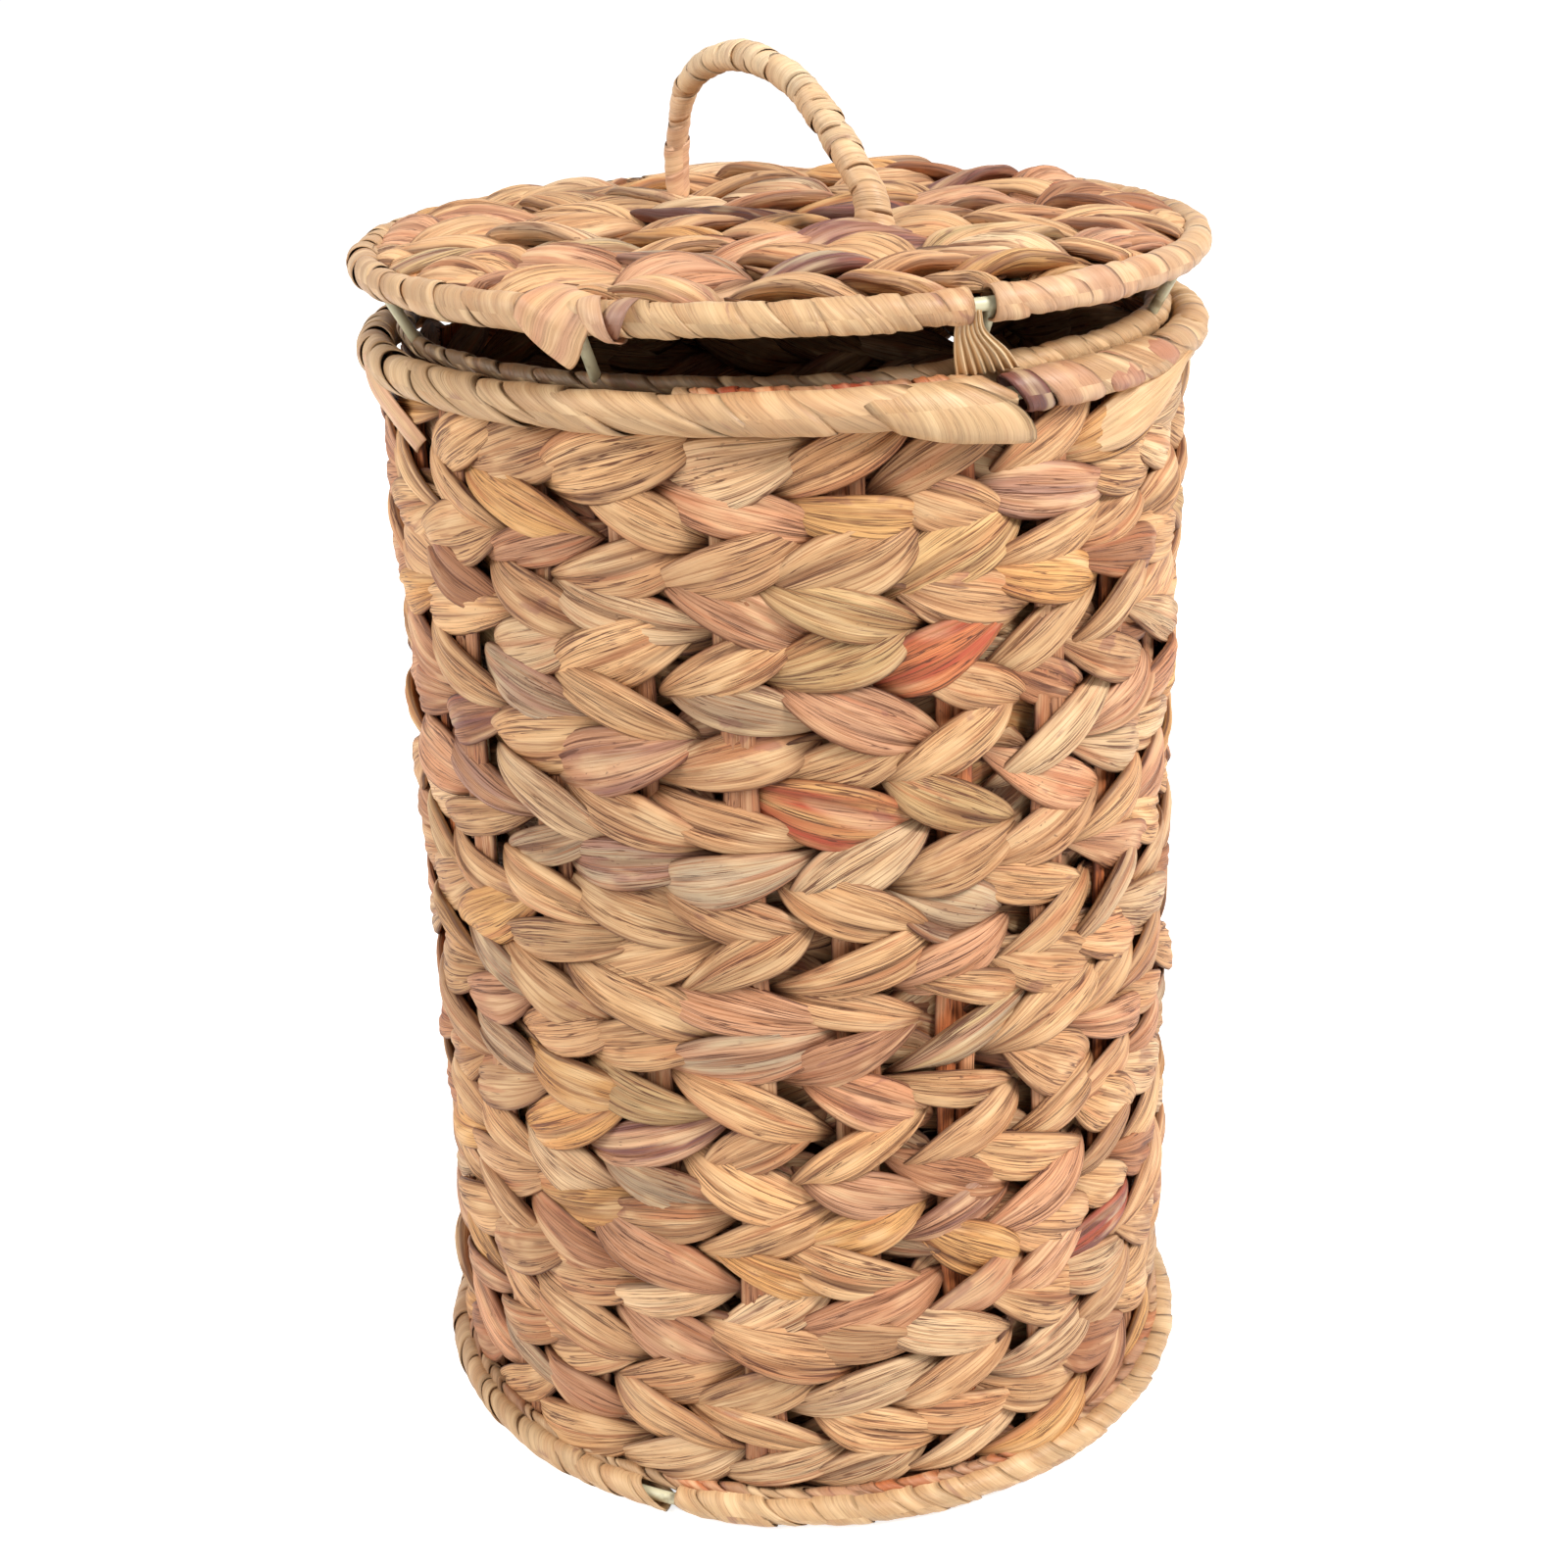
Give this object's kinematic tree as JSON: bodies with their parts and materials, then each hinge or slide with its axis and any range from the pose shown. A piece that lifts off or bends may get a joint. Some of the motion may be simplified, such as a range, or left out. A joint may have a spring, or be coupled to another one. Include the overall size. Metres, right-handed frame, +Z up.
{
  "type": "wicker wastebasket",
  "caption": "Round woven wastebasket with a lift-off lid and arched handle, twined from flat plant strands on a wire frame.",
  "frame": {"origin": "centre of the foot ring on the surface it stands on", "axes": "+Z up along the basket's axis, -Y to the front, where the handle's nearer foot is, +X to the right seen from the front"},
  "size_m": [0.269, 0.269, 0.4566],
  "materials": {
    "row_strand": "dried flat plant strands, fine long grooves, golden tan with pink, red-brown and grey-green ones, satin",
    "wrap_strand": "dried flat plant strands wound tightly, golden tan, satin",
    "panel_strand": "dried flat plant strands, golden tan with purple-brown ones, satin",
    "spoke_strand": "dried plant strands in bundles, reddish brown, matte",
    "frame_wire": "steel wire with a pale greenish-yellow coat, semi-gloss"
  },
  "bodies": {
    "basket": {"wire_frame": "frame_wire", "rim_wrap": "wrap_strand", "foot_wrap": "wrap_strand", "base_weave": "panel_strand", "spoke_01": "spoke_strand", "spoke_02": "spoke_strand", "spoke_03": "spoke_strand", "spoke_04": "spoke_strand", "spoke_05": "spoke_strand", "spoke_06": "spoke_strand", "spoke_07": "spoke_strand", "spoke_08": "spoke_strand", "spoke_09": "spoke_strand", "spoke_10": "spoke_strand", "spoke_11": "spoke_strand", "spoke_12": "spoke_strand", "spoke_13": "spoke_strand", "spoke_14": "spoke_strand", "spoke_15": "spoke_strand", "spoke_16": "spoke_strand", "weave_row_01": "row_strand", "weave_row_02": "row_strand", "weave_row_03": "row_strand", "weave_row_04": "row_strand", "weave_row_05": "row_strand", "weave_row_06": "row_strand", "weave_row_07": "row_strand", "weave_row_08": "row_strand", "weave_row_09": "row_strand", "weave_row_10": "row_strand", "weave_row_11": "row_strand", "weave_row_12": "row_strand", "weave_row_13": "row_strand", "weave_row_14": "row_strand", "weave_row_15": "row_strand", "weave_row_16": "row_strand", "weave_row_17": "row_strand", "weave_row_18": "row_strand", "weave_row_19": "row_strand", "weave_row_20": "row_strand", "weave_row_21": "row_strand", "weave_row_22": "row_strand", "weave_row_23": "row_strand"},
    "lid": {"lid_frame": "frame_wire", "lid_wrap": "wrap_strand", "seat_wrap": "wrap_strand", "lid_weave": "panel_strand", "handle_wire": "frame_wire", "handle_wrap": "wrap_strand", "binding_strap": "wrap_strand"}
  },
  "joints": [
    {"name": "lid_lift", "type": "slide", "parent": "basket", "child": "lid", "axis": [0, 0, 1], "range_m": [0, 0.12]}
  ]
}
